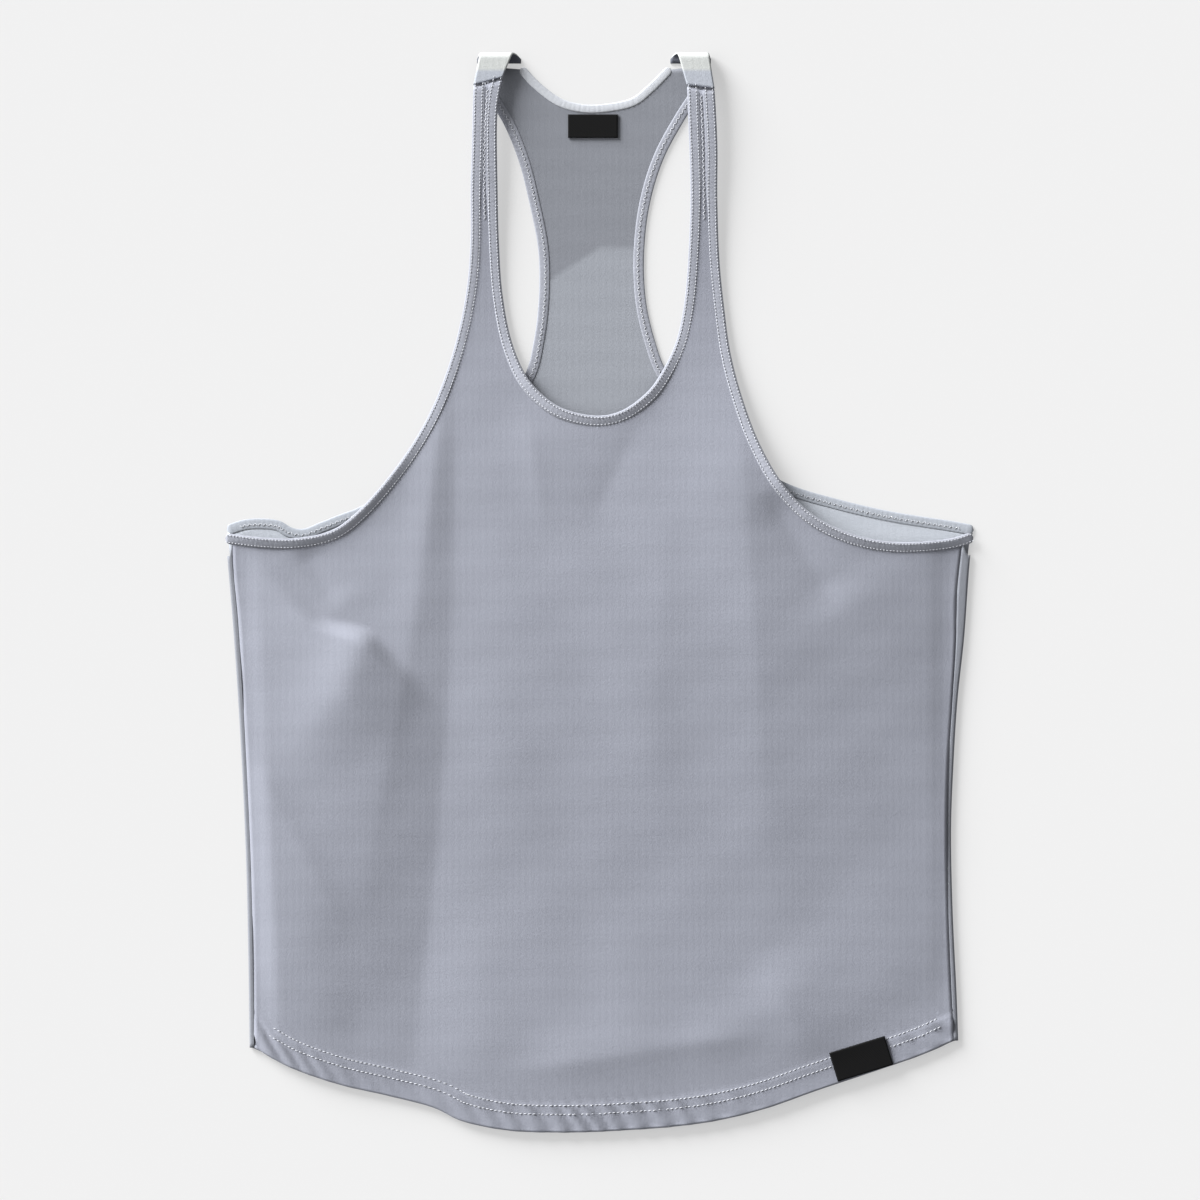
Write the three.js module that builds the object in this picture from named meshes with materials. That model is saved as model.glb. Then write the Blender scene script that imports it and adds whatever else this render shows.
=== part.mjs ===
import * as THREE from 'three';

// A sleeveless jersey vest with a racerback, lying on its back with the front up.
// Millimetres. X runs across the garment, Y from the hem to the neck, Z up from the surface it lies on.

// Cloth and sewing sizes
const WALL = 1.2;
const HEM_WALL = 2.0;
const HEM_DEPTH = 20;
const SEAM_GAP = 0.3;
const CUT_GAP = 0.8;
const TURN_GAP = 0.7;
const SLEEVE_BINDING = { width: 7.5, front: 1.8, back: 1.6 };
const FRONT_NECK_BINDING = { width: 8, thick: 1.8 };
const BACK_NECK_BINDING = { width: 6, thick: 1.6 };
const LABEL_THICK = 1.0;

// Heights of the middle of the cloth
const BACK_LEVEL = WALL / 2;
const FRONT_LEVEL = 3.0;
const SHOULDER_RISE = 5.4;
const SIDE_SLOPE = 20;
const HEM_SLOPE = 70;
const CREST = 4;

// The same value at all eight heights of the table of folds
const level = value => Array(8).fill(value);

// Where each side folds, and where the front's side seam lies on the turned cloth: x, y
const SIDE_LEFT = {
  fold: [[-246.5, -320.5], [-247.5, -252], [-249, -188.5], [-253.5, -93.5], [-258.5, -19.5], [-262, 22],
    [-262.8, 33]],
  seam: [[-243, -320.5], [-244, -252], [-245.5, -188.5], [-250, -93.5], [-254.5, -19.5], [-258.5, 22]],
};
const SIDE_RIGHT = {
  fold: [[252, -315.5], [251, -286], [248, -221.5], [247, -167], [248.5, -124.5], [251.5, -76], [256, -34],
    [262, 36]],
  seam: [[249, -315.5], [247.5, -286], [245, -221.5], [244, -167], [245, -124.5], [248, -76], [250.5, -34],
    [251, -2]],
};

// Edges of each half, from the centre line or the side seam up to the shoulder: x, y
const LEFT = {
  hem: [[-243, -320.5], [-219.5, -333.5], [-184.5, -346], [-148, -354.5], [-116, -363], [-98.5, -371.5],
    [-65.5, -378.5], [-28, -380], [-1.5, -379.5]],
  frontArmhole: [[-263, 41.5], [-238, 38.5], [-214, 38], [-188.5, 43.5], [-169.5, 57.5], [-139.5, 93],
    [-120.5, 124.5], [-107.5, 156], [-98.5, 188], [-93, 219.5], [-91, 251], [-91, 283], [-90, 318],
    [-89, 355.5]],
  frontNeck: [[-1.5, 124], [-25.5, 129], [-40, 138.5], [-52, 152.5], [-62, 176], [-68.5, 209], [-71, 244],
    [-72, 283], [-72, 338], [-69, 357.5]],
  backArmhole: [[-263.5, 47], [-250, 50.5], [-233.5, 51.5], [-213, 48.5], [-191.5, 52],
    [-169, 60], [-119.5, 91.5], [-81, 121], [-53.5, 152], [-46.5, 177.5], [-43, 209], [-43.5, 240.5],
    [-49.5, 272.5], [-57.5, 304], [-68.5, 330.5], [-81, 350], [-86.5, 361], [-87, 369.5]],
  backNeck: [[-1.5, 343], [-14, 343.5], [-27.5, 347.5], [-43, 359], [-53.5, 370.5]],
};
const RIGHT = {
  hem: [[249, -315.5], [227.5, -325], [190, -338], [152.5, -350.5], [117, -363], [83, -371.5], [50.5, -376],
    [15.5, -378.5], [-1.5, -379.5]],
  frontArmhole: [[261.2, 42.4], [250, 38.6], [233, 36], [203.5, 35.5], [175, 41.5], [149, 55], [128.5, 76],
    [112.5, 103.5], [100.5, 135], [92, 167], [87.5, 198.5], [84, 233.5], [82.5, 276], [82.5, 314.5],
    [80.5, 353]],
  frontNeck: [[-1.5, 124], [15, 127.5], [33, 140.5], [42, 152.5], [53, 175], [59, 202], [62.5, 244],
    [63.5, 283], [62, 330.5], [61.2, 352.5]],
  backArmhole: [[263.5, 47], [247.5, 50], [206.5, 56.5], [169, 65], [129.5, 77.5], [95, 100], [70.5, 124.5],
    [47, 155], [38.5, 177.5], [32.5, 204], [31, 237], [35, 272.5], [44.5, 304], [58.5, 330.5], [71, 350],
    [77, 361], [78, 369.5]],
  backNeck: [[-1.5, 343], [22, 347.5], [33, 356], [47.5, 370.5]],
};

// Which point of the outer edge each row starts from, which point of the inner edge it ends at, and how many
// rows follow. Outer: 0 to 1 up the side, 1 to 2 round the armhole. Inner: 0 to 1 up the centre, 1 to 2 up the
// neck.
const FRONT_ROWS = [
  { outer: 0, inner: 0, rows: 2 },
  { outer: 0.054, inner: 0.038, rows: 1 },
  { outer: 0.062, inner: 0.043, rows: 15 },
  { outer: 1, inner: 0.669, rows: 3 },
  { outer: 1.118, inner: 0.74, rows: 2 },
  { outer: 1.18, inner: 0.79, rows: 1 },
  { outer: 1.237, inner: 0.832, rows: 2 },
  { outer: 1.348, inner: 0.91, rows: 2 },
  { outer: 1.441, inner: 1, rows: 4 },
  { outer: 1.505, inner: 1.168, rows: 2 },
  { outer: 1.572, inner: 1.245, rows: 3 },
  { outer: 1.648, inner: 1.364, rows: 4 },
  { outer: 1.749, inner: 1.589, rows: 7 },
  { outer: 2, inner: 2, rows: 0 },
];
const BACK_ROWS = [
  { outer: 0, inner: 0, rows: 9 },
  { outer: 0.96, inner: 0.43, rows: 1 },
  { outer: 1, inner: 0.453, rows: 5 },
  { outer: 1.1, inner: 0.512, rows: 4 },
  { outer: 1.213, inner: 0.561, rows: 3 },
  { outer: 1.367, inner: 0.62, rows: 4 },
  { outer: 1.52, inner: 0.718, rows: 3 },
  { outer: 1.616, inner: 0.804, rows: 3 },
  { outer: 1.708, inner: 0.865, rows: 3 },
  { outer: 1.82, inner: 0.929, rows: 3 },
  { outer: 1.903, inner: 1, rows: 5 },
  { outer: 2, inner: 2, rows: 0 },
];
const FRONT_COLUMNS = 13;
const BACK_COLUMNS = 6;

// The long folds that hang from the armholes: at each height, every line of cloth lies at x, z above the side
// seams. Between two lines the cloth is nearly straight, and each bend is rounded by its softness.
const HEIGHTS = [125, 70, 0, -65, -145, -210, -290, -360];
const LINES = [
  { name: 'left seam', x: [-255, -255, -255, -253, -250, -248, -246, -244],
    z: [0.5, 0.5, 0.5, 0.5, 1.8, 2.6, 3, 2.6] },
  { name: 'left swell', x: [-222, -220, -216, -214, -212, -207, -196, -190],
    z: [1, 2, 2, 1.6, 4, 5.4, 5.6, 4.6], soft: level(14) },
  { name: 'ridge foot', x: [-131, -137, -147.5, -154, -162.6, -169.6, -171, -172],
    z: [3.2, 4, 4.8, 6.4, 6, 4.6, 3, 2.4], soft: [8, 8, 8, 8, 7, 6, 5, 5] },
  { name: 'left ridge', x: [-111.5, -118.5, -127.5, -138.6, -154.1, -164.5, -168, -169],
    z: [5.6, 6.2, 6.9, 7.4, 6.1, 4.5, 2.9, 2.3], soft: [3, 3, 3, 3, 3, 4, 9, 12] },
  { name: 'left valley', x: [-102, -102.5, -103.5, -106.3, -112.3, -117.8, -126.5, -133.5],
    z: [4.4, 4.4, 5.4, 5.4, 3.4, 1.5, 0.5, 0.4], soft: [3, 2, 2, 2, 2, 2, 3, 4] },
  { name: 'valley side', x: [-75, -74, -72, -72, -75, -80, -84, -86],
    z: [5, 5.6, 7.2, 7.4, 5.8, 4, 3.2, 3], soft: level(12) },
  { name: 'middle', x: level(-20), z: [4.8, 5.6, 7.8, 8.2, 6.6, 4.9, 4, 3.6], soft: level(40) },
  { name: 'middle ridge', x: [47, 46, 43.5, 40, 36, 33, 30, 30],
    z: [5.2, 6.4, 9, 9.4, 7.2, 5.2, 4.2, 3.6], soft: [10, 8, 4, 4, 8, 20, 20, 20] },
  { name: 'middle valley', x: [62, 62, 60, 58, 56, 55, 54, 54],
    z: [5.2, 6.4, 8.6, 8.9, 6.9, 5, 4.1, 3.6], soft: level(15) },
  { name: 'right ridge', x: [97.5, 102, 107, 110.6, 114.5, 121, 127, 130],
    z: [7.4, 8.6, 10.2, 10.2, 8, 6.2, 5, 4.2], soft: [3, 3, 2.5, 3, 6, 20, 30, 30] },
  { name: 'right fall', x: [140, 145, 150, 152, 152, 152, 152, 152],
    z: [5, 6.2, 7.4, 7.4, 6, 4.8, 4, 3.4], soft: level(25) },
  { name: 'right side', x: level(205), z: [2.5, 2.8, 4, 4, 3.4, 2.8, 2.4, 2.2], soft: level(25) },
  { name: 'right seam', x: level(250), z: level(0.4) },
];

// Shorter folds: the line from the upper to the lower end, the rise at each end, how far it falls away on its
// left and its right, and how quickly it ends
const FOLDS = [
  { name: 'side billow', top: [-156, -28], foot: [-202, -96], rise: [7, 6.4], left: 46, right: 30, ends: 14 },
  { name: 'fan edge', top: [-246, 26], foot: [-190, -18], rise: [3.4, 2.4], left: 20, right: 9, ends: 8 },
  { name: 'low crease', top: [-248, -112], foot: [-188, -222], rise: [1.4, 1.8], left: 40, right: 12, ends: 30 },
  { name: 'neck ridge', top: [-50, 114], foot: [-41, 55], rise: [1.8, 1.4], left: 26, right: 16, ends: 25 },
  { name: 'neck trough', top: [25, 112], foot: [-2, 58], rise: [-2, -1.6], left: 22, right: 26, ends: 25 },
  { name: 'right crease', top: [122, 65], foot: [162, -2], rise: [-1.8, -1.4], left: 16, right: 26, ends: 25 },
  { name: 'hem ridge', top: [121, -270], foot: [149, -325], rise: [1.8, 2], left: 24, right: 40, ends: 20 },
  { name: 'hem roll', top: [-45, -334], foot: [96, -313], rise: [1.6, 1.8], left: 13, right: 14, ends: 30 },
];

// The strap ends of the back, turned forward over the shoulder: where they leave the back, the top of the
// turn, and the seam with the front strap, outer and inner end of each
const SHOULDERS = {
  shoulder_left: {
    back: { outer: [-86.5, 371.8], inner: [-55.5, 371.8] },
    turn: { outer: [-84, 379.4], inner: [-61, 379.4] },
    seam: { outer: [-89, 356.3], inner: [-68.5, 361.8] },
  },
  shoulder_right: {
    back: { outer: [78, 371.8], inner: [49.5, 371.8] },
    turn: { outer: [76, 379.4], inner: [54, 379.4] },
    seam: { outer: [80.5, 353.8], inner: [61, 356.3] },
  },
};
const SHOULDER_TURN_STEPS = 8;

// Labels: a patch under the back neck, and a patch on the hem, turned with it
const NECK_LABEL = { left: -22.5, right: 12.5, bottom: 319.5, top: 336 };
const HEM_LABEL = { corner: [161, -324], across: [39, 12], down: [6.2, -20.2] };

// Colours seen in daylight
const CLOTH = { color: 0x9c9faa, roughness: 0.92, metalness: 0 };
const CLOTH_INSIDE = { color: 0x92959d, roughness: 0.94, metalness: 0 };
const BINDING_CLOTH = { color: 0xa4a8b2, roughness: 0.9, metalness: 0 };
const SHOULDER_CLOTH = { color: 0xd3d6d9, roughness: 0.9, metalness: 0 };
const LABEL_CLOTH = { color: 0x1b1b1d, roughness: 0.75, metalness: 0 };

const { lerp, smoothstep } = THREE.MathUtils;

// A smooth curve through points [x, y].
function curveThrough(points) {
  return new THREE.CatmullRomCurve3(points.map(([x, y]) => new THREE.Vector3(x, y, 0)));
}

// A stretch of a curve moved sideways: a positive distance moves it to the left of the curve's direction.
function beside(curve, distance, from = 0, to = 1) {
  return {
    getPointAt(t) {
      const at = lerp(from, to, t);
      const tangent = curve.getTangentAt(at);
      return curve.getPointAt(at).add(new THREE.Vector3(-tangent.y, tangent.x, 0).multiplyScalar(distance));
    },
  };
}

// Height of a curve at x, read between the samples on either side.
function heightAt(samples, x) {
  for (let i = 1; i < samples.length; i++) {
    const [a, b] = [samples[i - 1], samples[i]];
    if (x <= b.x) return lerp(a.y, b.y, THREE.MathUtils.clamp((x - a.x) / (b.x - a.x), 0, 1));
  }
  return samples[samples.length - 1].y;
}

const hemSamples = [
  ...curveThrough(LEFT.hem).getPoints(80),
  ...curveThrough(RIGHT.hem).getPoints(80).reverse().slice(1),
];

// Distance up from the hem's edge.
function aboveHem(x, y) {
  return y - heightAt(hemSamples, x);
}

// One ridge or trough: full height on its line, falling away on both sides with a rounded crest.
function foldHeight(fold, x, y) {
  const line = new THREE.Vector2(fold.foot[0] - fold.top[0], fold.foot[1] - fold.top[1]);
  const length = line.length();
  line.divideScalar(length);
  const [dx, dy] = [x - fold.top[0], y - fold.top[1]];
  const along = dx * line.x + dy * line.y;
  const across = line.x * dy - line.y * dx;
  const soft = across < 0 ? fold.left : fold.right;
  const crest = Math.exp(-(Math.hypot(across, CREST) - CREST) / soft);
  const ends = smoothstep(along, -fold.ends, fold.ends) * smoothstep(length - along, -fold.ends, fold.ends);
  return lerp(...fold.rise, THREE.MathUtils.clamp(along / length, 0, 1)) * crest * ends;
}

// A value that changes down the garment: a smooth curve through its values at HEIGHTS.
function alongHeight(values) {
  const samples = curveThrough(HEIGHTS.map((height, i) => [height, values[i]])).getPoints(60).reverse();
  return y => heightAt(samples, y);
}

const foldLines = LINES.map(({ x, z, soft }) => ({
  x: alongHeight(x),
  z: alongHeight(z),
  soft: alongHeight(soft ?? x),
}));

// A broken line across the cloth with its bends rounded.
function longFolds(x, y) {
  const places = foldLines.map(line => line.x(y));
  const levels = foldLines.map(line => line.z(y));
  const slopes = places.slice(1).map((place, i) => (levels[i + 1] - levels[i]) / (place - places[i]));
  let z = levels[0] + slopes[0] * (x - places[0]);
  for (let i = 1; i < slopes.length; i++) {
    const past = x - places[i];
    z += ((slopes[i] - slopes[i - 1]) * (past + Math.hypot(past, foldLines[i].soft(y)))) / 2;
  }
  return z;
}

// Middle height of the front's cloth: level at the side seams, folded between them, and climbing up the straps
// to the shoulders.
function frontHeight(x, y) {
  const below = Math.min(y, 0);
  const inside = Math.min(x + 258 + below * 0.048, 250 - x);
  const sides = smoothstep(inside, 0, SIDE_SLOPE);
  const hem = lerp(0.4, 1, smoothstep(aboveHem(x, y), 0, HEM_SLOPE));
  const chest = 1 - smoothstep(y, 70, 200);
  let folds = 0;
  for (const fold of FOLDS) folds += foldHeight(fold, x, y);
  const body = Math.max(0, (longFolds(x, y) * chest + folds) * hem);
  return FRONT_LEVEL + sides * body + SHOULDER_RISE * smoothstep(y, 200, 350);
}

function backHeight() {
  return BACK_LEVEL;
}

// The front's cloth is double where the hem is turned up.
function frontWall(point) {
  return lerp(HEM_WALL, WALL, smoothstep(aboveHem(point.x, point.y), HEM_DEPTH - 1, HEM_DEPTH + 1));
}

// Rows of points for one half of a panel, from its outer edge to the centre line or the neck. Each row is
// straight, and the lowest ones bend to the hem's own curve.
function halfRows({ side, armhole, centre, neck, hem, table, columns, height }) {
  const outerAt = s => (s <= 1 ? side.getPointAt(s) : armhole.getPointAt(s - 1));
  const innerAt = s => (s <= 1 ? centre.getPointAt(s) : neck.getPointAt(s - 1));
  const rows = [];
  table.forEach((rung, i) => {
    const next = table[i + 1] ?? rung;
    for (let k = 0; k < Math.max(rung.rows, next === rung ? 1 : 0); k++) {
      const share = rung.rows ? k / rung.rows : 0;
      const at = lerp(rung.outer, next.outer, share);
      const outer = outerAt(at);
      const inner = innerAt(lerp(rung.inner, next.inner, share));
      const hemShare = 1 - smoothstep(at, 0.06, 1);
      const points = [];
      for (let c = 0; c <= columns; c++) {
        const u = c / columns;
        const point = outer.clone().lerp(inner, u);
        const chord = hem.getPointAt(0).lerp(hem.getPointAt(1), u);
        point.add(hem.getPointAt(u).sub(chord).multiplyScalar(hemShare));
        point.z = height(point.x, point.y);
        points.push(point);
      }
      rows.push({ at, points });
    }
  });
  return rows;
}

// One closed solid from sheets of points. Equal points are one, each face of the cloth lies half a wall from
// the middle, and open edges are closed by a rim.
function clothSolid(sheets, wall) {
  const points = [];
  const numbers = new Map();
  const numberOf = point => {
    const key = point.toArray().map(v => Math.round(v * 500)).join(' ');
    if (!numbers.has(key)) numbers.set(key, points.push(point) - 1);
    return numbers.get(key);
  };
  const triangles = [];
  const addTriangle = (a, b, c) => {
    if (a !== b && b !== c && c !== a) triangles.push([a, b, c]);
  };
  for (const sheet of sheets) {
    for (let r = 1; r < sheet.length; r++) {
      for (let c = 1; c < sheet[r].length; c++) {
        const [a, b, d, e] = [sheet[r - 1][c - 1], sheet[r - 1][c], sheet[r][c], sheet[r][c - 1]];
        const [i, j, k, l] = [a, b, d, e].map(numberOf);
        if (a.distanceTo(d) < b.distanceTo(e)) {
          addTriangle(i, j, k);
          addTriangle(i, k, l);
        } else {
          addTriangle(i, j, l);
          addTriangle(j, k, l);
        }
      }
    }
  }
  const middle = new THREE.BufferGeometry().setFromPoints(points);
  middle.setIndex(triangles.flat());
  middle.computeVertexNormals();
  const normals = middle.getAttribute('normal');
  const count = points.length;
  const faces = [1, -1].flatMap(sign => points.map((point, i) => {
    const normal = new THREE.Vector3().fromBufferAttribute(normals, i);
    return point.clone().addScaledVector(normal, sign * wall(point) / 2);
  }));
  const index = [];
  const edges = new Set(triangles.flatMap(([a, b, c]) => [`${a} ${b}`, `${b} ${c}`, `${c} ${a}`]));
  for (const [a, b, c] of triangles) {
    index.push(a, b, c, c + count, b + count, a + count);
    for (const [from, to] of [[a, b], [b, c], [c, a]]) {
      if (!edges.has(`${to} ${from}`)) {
        index.push(to, from, from + count, to, from + count, to + count);
      }
    }
  }
  const geometry = new THREE.BufferGeometry().setFromPoints(faces);
  geometry.setIndex(index);
  return geometry;
}

// A folded strip carried along an edge: a flat section with rounded sides, lying on the height of the cloth.
function stripSolid(edge, { width, thick, height, steps }) {
  const round = thick * 0.35;
  const section = [
    [0, 0], [round, -thick / 2], [width - round, -thick / 2],
    [width, 0], [width - round, thick / 2], [round, thick / 2],
  ];
  const points = [];
  for (let s = 0; s <= steps; s++) {
    for (const [inset, up] of section) {
      const point = beside(edge, inset).getPointAt(s / steps);
      point.z = height(point.x, point.y) + up;
      points.push(point);
    }
  }
  const n = section.length;
  const index = [];
  for (let s = 0; s < steps; s++) {
    for (let i = 0; i < n; i++) {
      const [a, b] = [s * n + i, s * n + ((i + 1) % n)];
      index.push(a, a + n, b, b, a + n, b + n);
    }
  }
  for (let i = 1; i < n - 1; i++) {
    const last = steps * n;
    index.push(0, i, i + 1, last, last + i + 1, last + i);
  }
  const geometry = new THREE.BufferGeometry().setFromPoints(points);
  geometry.setIndex(index);
  return geometry;
}

// Turns a closed mesh inside out when its volume comes out negative.
function facingOut(geometry) {
  const [p, q, r] = [new THREE.Vector3(), new THREE.Vector3(), new THREE.Vector3()];
  const position = geometry.getAttribute('position');
  const index = Array.from(geometry.getIndex().array);
  let volume = 0;
  for (let i = 0; i < index.length; i += 3) {
    p.fromBufferAttribute(position, index[i]);
    q.fromBufferAttribute(position, index[i + 1]);
    r.fromBufferAttribute(position, index[i + 2]);
    volume += p.dot(q.cross(r));
  }
  if (volume < 0) geometry.setIndex(index.reverse());
  return geometry;
}

const garment = new THREE.Group();

function addPiece(name, geometry, look) {
  const mesh = new THREE.Mesh(facingOut(geometry), new THREE.MeshStandardMaterial(look));
  mesh.name = name;
  garment.add(mesh);
  return mesh;
}

const centreX = LEFT.hem.at(-1)[0];
const hemBottom = LEFT.hem.at(-1)[1];

// A neck's edge from the right shoulder down and up to the left one.
function neckEdge(key) {
  return curveThrough([...RIGHT[key].slice(1).reverse(), ...LEFT[key]]);
}

// Both halves of a neck's cut, a binding's width inside its edge, from the centre line up.
function neckCuts(key, distance) {
  const edge = neckEdge(key);
  const cut = beside(edge, distance);
  let [right, left] = [0, 1];
  while (left - right > 1e-7) {
    const half = (right + left) / 2;
    if (cut.getPointAt(half).x > centreX) right = half;
    else left = half;
  }
  return { left: beside(edge, distance, left, 1), right: beside(edge, distance, left, 0) };
}

// The armholes' cuts lie a binding's width inside their edges. The front's ones start at the side seams.
const inset = SLEEVE_BINDING.width + CUT_GAP;
const frontNeckCuts = neckCuts('frontNeck', FRONT_NECK_BINDING.width + CUT_GAP);
const backNeckCuts = neckCuts('backNeck', BACK_NECK_BINDING.width + CUT_GAP);
const halves = [
  { word: 'left', edges: LEFT, side: SIDE_LEFT, sign: 1, start: 0.012 },
  { word: 'right', edges: RIGHT, side: SIDE_RIGHT, sign: -1, start: 0.02 },
].map(half => ({
  ...half,
  front: beside(curveThrough(half.edges.frontArmhole), -half.sign * inset, half.start),
  back: beside(curveThrough(half.edges.backArmhole), -half.sign * inset),
  frontNeck: frontNeckCuts[half.word],
  backNeck: backNeckCuts[half.word],
}));

// Front panel: two halves that share the centre line.
function centreLine(bottom, neck) {
  return new THREE.LineCurve3(
    new THREE.Vector3(centreX, bottom, 0),
    new THREE.Vector3(centreX, neck.getPointAt(0).y, 0),
  );
}

function upright(rows, sign) {
  return rows.map(row => (sign > 0 ? row.points : [...row.points].reverse()));
}

const frontSheets = halves.map(({ edges, side, sign, front, frontNeck }) => upright(halfRows({
  side: curveThrough([...side.seam, front.getPointAt(0).toArray().slice(0, 2)]),
  armhole: front,
  centre: centreLine(hemBottom, frontNeck),
  neck: frontNeck,
  hem: curveThrough(edges.hem),
  table: FRONT_ROWS,
  columns: FRONT_COLUMNS,
  height: frontHeight,
}), sign));
addPiece('front_panel', clothSolid(frontSheets, frontWall), CLOTH);

// Back panel: flat on the surface, turned up round each side and back over the front's level to the side seam.
const turnRadius = (FRONT_LEVEL - BACK_LEVEL) / 2;
const turnReach = turnRadius + WALL / 2;
const turnLevel = (FRONT_LEVEL + BACK_LEVEL) / 2;
const hemLift = 2;

const backSheets = halves.flatMap(({ edges, side, sign, back, front, backNeck }) => {
  const fold = side.fold.map(([x, y]) => [x + sign * turnReach, y]);
  const hem = edges.hem.map(([x, y]) => [x, y + hemLift]);
  hem[0] = fold[0];
  const rows = halfRows({
    side: curveThrough([...fold, back.getPointAt(0).toArray().slice(0, 2)]),
    armhole: back,
    centre: centreLine(hemBottom + hemLift, backNeck),
    neck: backNeck,
    hem: curveThrough(hem),
    table: BACK_ROWS,
    columns: BACK_COLUMNS,
    height: backHeight,
  });
  const turned = rows.filter(row => row.at <= BACK_ROWS[1].outer + 1e-6);
  const seam = curveThrough([...side.seam, front.getPointAt(0).toArray().slice(0, 2)]);
  const turn = turned.map((row, i) => {
    const foot = row.points[0];
    const end = seam.getPointAt(i / (turned.length - 1));
    end.x -= sign * TURN_GAP;
    end.z = FRONT_LEVEL;
    const round = [];
    for (let k = 0; k <= 4; k++) {
      const angle = -Math.PI / 2 + (Math.PI * k) / 4;
      const x = foot.x - sign * turnRadius * Math.cos(angle);
      round.push(new THREE.Vector3(x, foot.y, turnLevel + turnRadius * Math.sin(angle)));
    }
    round[0] = foot;
    const top = round[4];
    const points = [...round, top.clone().lerp(end, 0.5), end];
    return sign > 0 ? points.reverse() : points;
  });
  return [upright(rows, sign), turn];
});
addPiece('back_panel', clothSolid(backSheets, () => WALL), CLOTH_INSIDE);

// Shoulders: the back's strap ends, up over the turn and down to the seam of the front strap.
function acrossStrap([outerX, outerY], [innerX, innerY], z) {
  const outer = new THREE.Vector3(outerX, outerY, z);
  const inner = new THREE.Vector3(innerX, innerY, z);
  return [0, 1, 2, 3].map(c => outer.clone().lerp(inner, c / 3));
}
for (const [name, { back, turn, seam }] of Object.entries(SHOULDERS)) {
  const level = frontHeight(...seam.outer);
  const radius = (level - BACK_LEVEL) / 2;
  const turnY = turn.outer[1] - WALL / 2 - radius;
  const sheet = [acrossStrap(back.outer, back.inner, BACK_LEVEL)];
  for (let k = 0; k <= SHOULDER_TURN_STEPS; k++) {
    const share = k / SHOULDER_TURN_STEPS;
    const angle = Math.PI * (share - 0.5);
    const y = turnY + radius * Math.cos(angle);
    const z = BACK_LEVEL + radius * (1 + Math.sin(angle));
    const [outerX, innerX] = ['outer', 'inner'].map(end => (share < 0.5
      ? lerp(back[end][0], turn[end][0], share * 2)
      : lerp(turn[end][0], seam[end][0], (share - 0.5) / 2)));
    sheet.push(acrossStrap([outerX, y], [innerX, y], z));
  }
  sheet.push(acrossStrap(seam.outer, seam.inner, level));
  addPiece(name, clothSolid([sheet], () => WALL), SHOULDER_CLOTH);
}

// Bindings: folded strips sewn round every cut edge.
const onSurface = thick => () => thick / 2;
addPiece('front_neck_binding', stripSolid(neckEdge('frontNeck'), {
  ...FRONT_NECK_BINDING,
  height: frontHeight,
  steps: 48,
}), BINDING_CLOTH);
addPiece('back_neck_binding', stripSolid(neckEdge('backNeck'), {
  ...BACK_NECK_BINDING,
  height: onSurface(BACK_NECK_BINDING.thick),
  steps: 18,
}), BINDING_CLOTH);
for (const { word, edges, sign } of halves) {
  const { width, front, back } = SLEEVE_BINDING;
  const strip = (points, thick, height, steps) => {
    const path = sign > 0 ? [...points].reverse() : points;
    return stripSolid(curveThrough(path), { width, thick, height, steps });
  };
  const runs = {
    front: strip(edges.frontArmhole, front, frontHeight, 34),
    back: strip(edges.backArmhole, back, onSurface(back), 44),
  };
  for (const [run, geometry] of Object.entries(runs)) {
    addPiece(`${run}_armhole_binding_${word}`, geometry, BINDING_CLOTH);
  }
}

// Labels: patches of the cloth under them, moved out.
function labelSheet(corner, across, down, height) {
  const sheet = [];
  for (let r = 3; r >= 0; r--) {
    const row = [];
    for (let c = 0; c <= 4; c++) {
      const x = corner[0] + (across[0] * c) / 4 + (down[0] * r) / 3;
      const y = corner[1] + (across[1] * c) / 4 + (down[1] * r) / 3;
      row.push(new THREE.Vector3(x, y, height(x, y)));
    }
    sheet.push(row);
  }
  return sheet;
}
const neckLabelLevel = WALL + SEAM_GAP + LABEL_THICK / 2;
const neckSheet = labelSheet(
  [NECK_LABEL.left, NECK_LABEL.top],
  [NECK_LABEL.right - NECK_LABEL.left, 0],
  [0, NECK_LABEL.bottom - NECK_LABEL.top],
  () => neckLabelLevel,
);
addPiece('neck_label', clothSolid([neckSheet], () => LABEL_THICK), LABEL_CLOTH);
const labelLift = HEM_WALL / 2 + SEAM_GAP + LABEL_THICK / 2 + 0.1;
const hemSheet = labelSheet(
  HEM_LABEL.corner,
  HEM_LABEL.across,
  HEM_LABEL.down,
  (x, y) => frontHeight(x, y) + labelLift,
);
addPiece('hem_label', clothSolid([hemSheet], () => LABEL_THICK), LABEL_CLOTH);

// The origin is under the middle of the whole outline.
const box = new THREE.Box3().setFromObject(garment);
const middle = box.getCenter(new THREE.Vector3());
garment.position.set(-middle.x, -middle.y, -box.min.z);

export default garment;
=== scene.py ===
import math

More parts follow.
